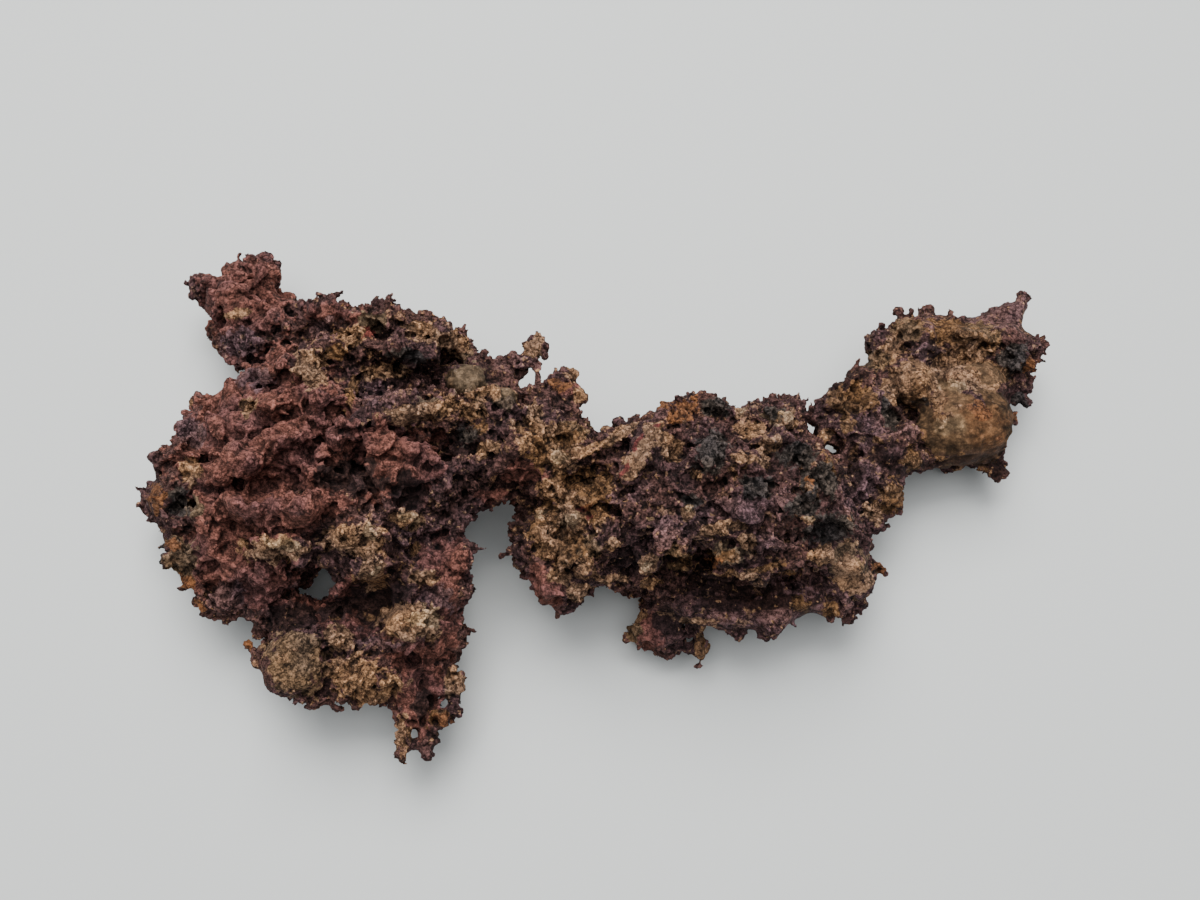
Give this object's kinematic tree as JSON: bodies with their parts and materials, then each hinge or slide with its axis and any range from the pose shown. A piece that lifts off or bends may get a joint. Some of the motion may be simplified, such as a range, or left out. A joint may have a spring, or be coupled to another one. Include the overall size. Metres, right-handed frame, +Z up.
{
  "type": "native copper nugget",
  "caption": "Hackly native copper nugget: knobbly masses grown in a bent chain, with spurs, ledges, pits and pale matrix crusts, lying flat.",
  "frame": {"origin": "on the table under the middle of the nugget's bounding box", "axes": "+X along its length towards the small paler end, +Y away from the viewer, +Z up"},
  "size_m": [0.2394, 0.1368, 0.0569],
  "materials": {
    "crusted_copper": "matte"
  },
  "bodies": {
    "root": {"copper_nugget": "crusted_copper"}
  },
  "joints": []
}
